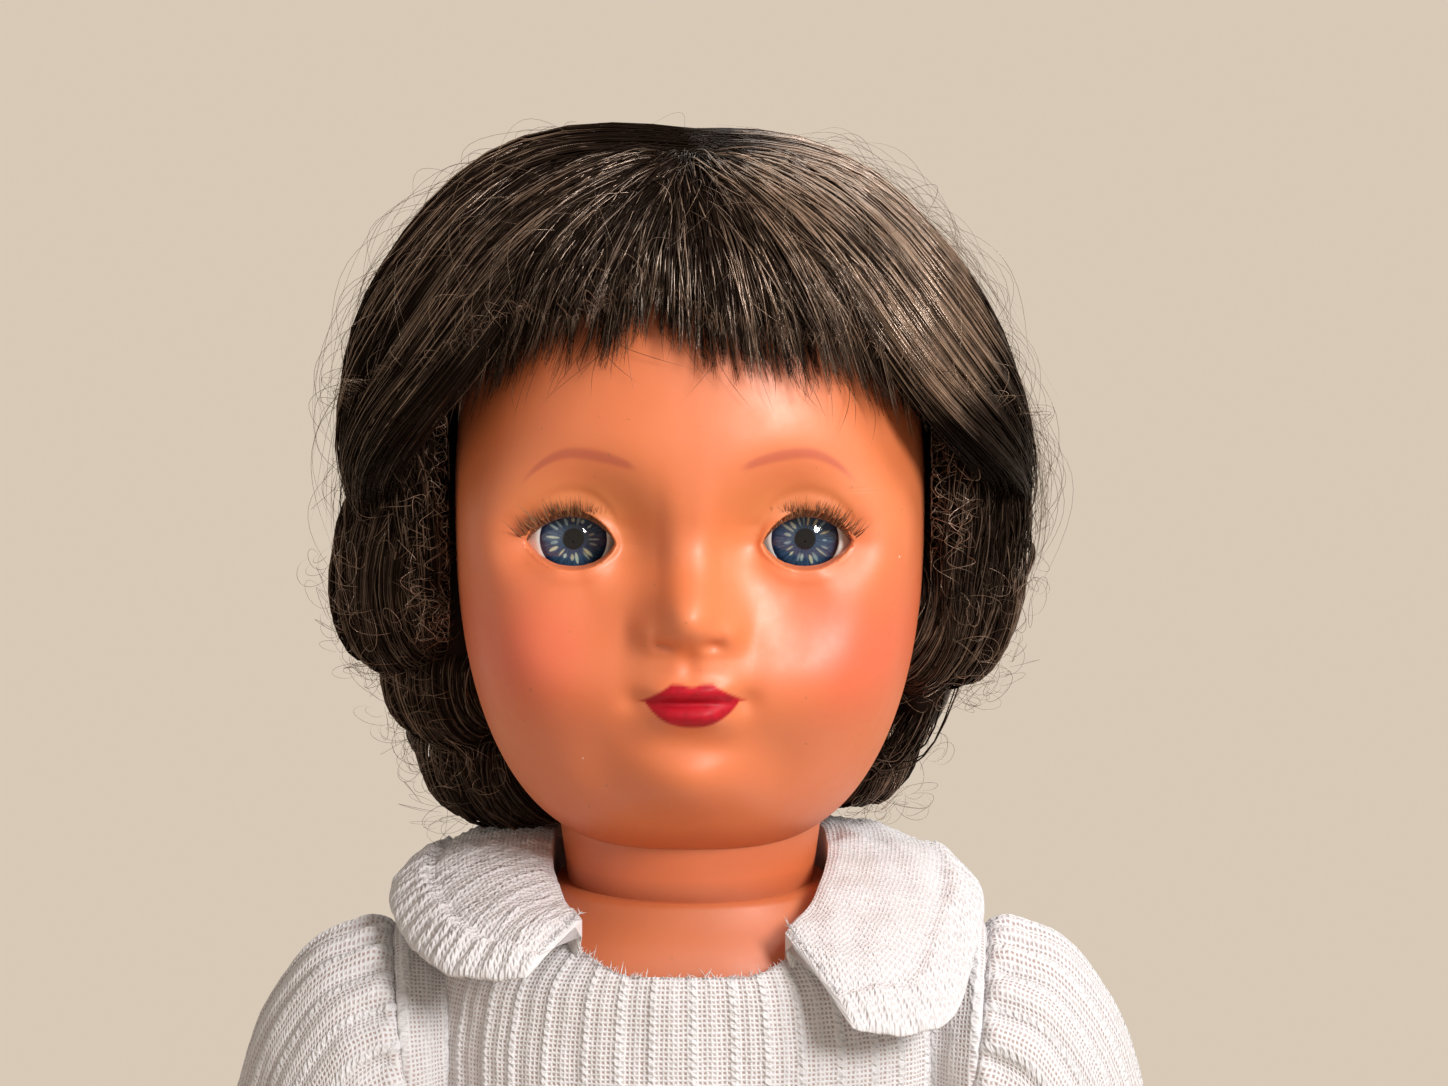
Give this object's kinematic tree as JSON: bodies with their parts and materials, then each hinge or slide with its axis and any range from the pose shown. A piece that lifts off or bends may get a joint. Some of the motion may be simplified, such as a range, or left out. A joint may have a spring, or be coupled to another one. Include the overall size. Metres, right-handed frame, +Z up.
{
  "type": "strung play doll",
  "caption": "Standing plastic play doll with a dark curled wig, blue sleep eyes, a turning head, strung swinging arms and legs, and a white ribbed cotton dress with a rounded collar.",
  "frame": {"origin": "on the floor between the soles, under the middle of the bounding box", "axes": "+Z up along the standing doll, the doll faces -Y, +X is the doll's own left"},
  "size_m": [0.1652, 0.122, 0.4997],
  "materials": {
    "skin": "semi-gloss moulded celluloid, flesh-orange, worn",
    "hair": "dark brown-black wig hair with a dull sheen",
    "cotton": "white openwork cotton with raised ribs",
    "lining": "dark woven wig cap",
    "pate": "pressed card, matte",
    "button": "milky, smooth",
    "elastic": "cloth-covered elastic cord",
    "wire": "plain drawn wire",
    "weight": "dull grey cast metal",
    "wood": "bare turned wood",
    "bearing": "set plaster",
    "eye_white": "glossy white",
    "iris": "blue with pale rays",
    "cornea": "clear, polished",
    "eyelid": "painted flesh, satin",
    "lashes": "fine brown hair"
  },
  "bodies": {
    "torso": {"torso_shell": "skin", "bodice_front": "cotton", "bodice_back_left": "cotton", "bodice_back_right": "cotton", "button_1": "button", "button_2": "button", "button_3": "button", "collar_left": "cotton", "collar_right": "cotton", "sleeve_left": "cotton", "sleeve_right": "cotton", "skirt_left": "cotton", "skirt_right": "cotton", "arm_elastic": "elastic", "leg_elastic": "elastic"},
    "head": {"head_shell": "skin", "crown_pate": "pate", "eye_bearing_left": "bearing", "eye_bearing_right": "bearing", "hair_crown": "hair", "wig_lining": "lining", "curl_left_upper": "hair", "curl_right_upper": "hair", "curl_right_middle": "hair", "curl_left_lower": "hair", "curl_right_lower": "hair", "curl_nape": "hair", "neck_button": "wood", "neck_hook": "wire"},
    "eyes": {"eyeball_left": "eye_white", "iris_left": "iris", "cornea_left": "cornea", "eyelid_left": "eyelid", "lashes_left": "lashes", "eyeball_right": "eye_white", "iris_right": "iris", "cornea_right": "cornea", "eyelid_right": "eyelid", "lashes_right": "lashes", "eye_axle": "wire", "eye_weight": "weight"},
    "arm_left": {"arm_left": "skin", "arm_pin_left": "wire"},
    "arm_right": {"arm_right": "skin", "arm_pin_right": "wire"},
    "leg_left": {"leg_left": "skin", "leg_pin_left": "wire"},
    "leg_right": {"leg_right": "skin", "leg_pin_right": "wire"}
  },
  "joints": [
    {"name": "neck_swivel", "type": "hinge", "parent": "torso", "child": "head", "pos_m": [0, 0.004, 0.383], "axis": [0, 0, 1], "range_deg": [-80, 80], "deforming": ["leg_elastic"]},
    {"name": "eyes_tilt", "type": "hinge", "parent": "head", "child": "eyes", "pos_m": [0, -0.0167, 0.441], "axis": [1, 0, 0], "range_deg": [0, 30]},
    {"name": "left_shoulder", "type": "hinge", "parent": "torso", "child": "arm_left", "pos_m": [0.052, -0.0005, 0.356], "axis": [-1, 0, 0], "range_deg": [-50, 150], "deforming": ["sleeve_left", "arm_elastic"]},
    {"name": "left_hip", "type": "hinge", "parent": "torso", "child": "leg_left", "pos_m": [0.029, 0.003, 0.212], "axis": [-1, 0, 0], "range_deg": [-20, 90], "deforming": ["skirt_left", "leg_elastic"]},
    {"name": "right_shoulder", "type": "hinge", "parent": "torso", "child": "arm_right", "pos_m": [-0.052, -0.0005, 0.356], "axis": [-1, 0, 0], "range_deg": [-50, 150], "deforming": ["sleeve_right", "arm_elastic"]},
    {"name": "right_hip", "type": "hinge", "parent": "torso", "child": "leg_right", "pos_m": [-0.029, 0.003, 0.212], "axis": [-1, 0, 0], "range_deg": [-20, 90], "deforming": ["skirt_right", "leg_elastic"]}
  ]
}
